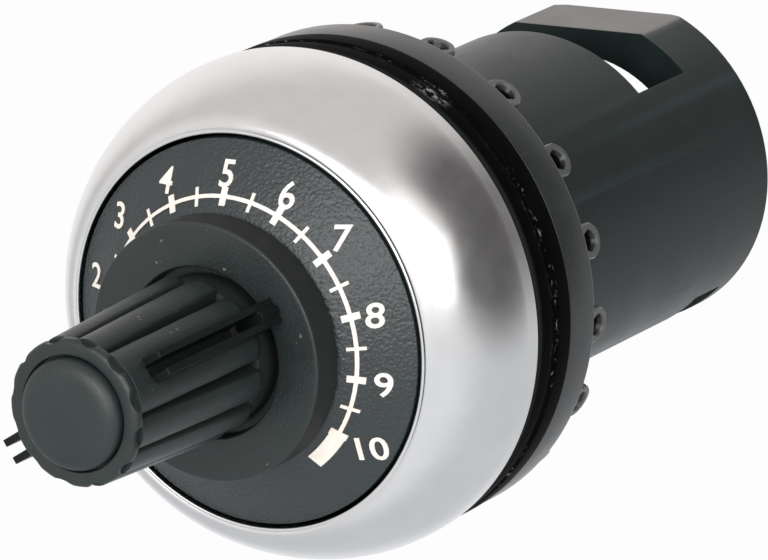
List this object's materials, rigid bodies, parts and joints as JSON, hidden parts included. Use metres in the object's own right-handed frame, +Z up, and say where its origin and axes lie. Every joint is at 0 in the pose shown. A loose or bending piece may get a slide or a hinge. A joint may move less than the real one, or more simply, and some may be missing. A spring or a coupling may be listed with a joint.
{
  "type": "rotary potentiometer",
  "caption": "Panel rotary potentiometer with a fluted pointer knob, a domed front ring round a numbered dial, a gasket, a lugged ring nut and a tubular rear housing with a wiring slot.",
  "frame": {"origin": "centre of the panel seat, the plane where the gasket's rear face meets the panel, on the shaft axis", "axes": "+Y along the shaft from the knob to the wiring end, +Z up through scale value 5, +X to the right seen from the front"},
  "size_m": [0.0296, 0.06, 0.0296],
  "materials": {
    "housing_plastic": "fine-grained satin",
    "front_ring_metal": "satin with a brighter inner lip",
    "dial_plastic": "fine-grained matt",
    "dial_print": "printed, matt",
    "gasket_rubber": "smooth",
    "nut_plastic": "satin",
    "knob_plastic": "fine-grained matt",
    "cap_plastic": "satin",
    "plated_steel": "zinc plated",
    "shaft_steel": "ground",
    "brass": "turned",
    "case_steel": "drawn and plated",
    "track_board": "laminated board",
    "track_film": "printed resistive film",
    "collector_silver": "silvered",
    "tinned_terminal": "tinned, dull",
    "carrier_plastic": "natural, satin"
  },
  "bodies": {
    "housing": {"front_housing": "housing_plastic", "bezel_ring": "front_ring_metal", "scale_plate": "dial_plastic", "scale_marks": "dial_print", "panel_gasket": "gasket_rubber", "rear_housing": "housing_plastic", "mounting_plate": "plated_steel", "pot_bush": "brass", "bush_washer": "plated_steel", "bush_nut": "plated_steel", "pot_case": "case_steel", "track_plate": "track_board", "resistive_track": "track_film", "collector_ring": "collector_silver", "terminal_1": "tinned_terminal", "terminal_2": "tinned_terminal", "terminal_3": "tinned_terminal", "terminal_rivets": "brass", "shaft_seal": "gasket_rubber"},
    "turning_set": {"knob": "knob_plastic", "knob_cap": "cap_plastic", "collet": "brass", "collet_nut": "brass", "shaft": "shaft_steel", "shaft_clip": "plated_steel", "wiper_carrier": "carrier_plastic", "wiper": "brass"},
    "nut": {"ring_nut": "nut_plastic"}
  },
  "joints": [
    {"name": "knob_turn", "type": "hinge", "parent": "housing", "child": "turning_set", "pos_m": [0, 0, 0], "axis": [0, 1, 0], "range_deg": [-9, 251]},
    {"name": "nut_travel", "type": "slide", "parent": "housing", "child": "nut", "axis": [0, 1, 0], "range_m": [0, 0.006]}
  ]
}
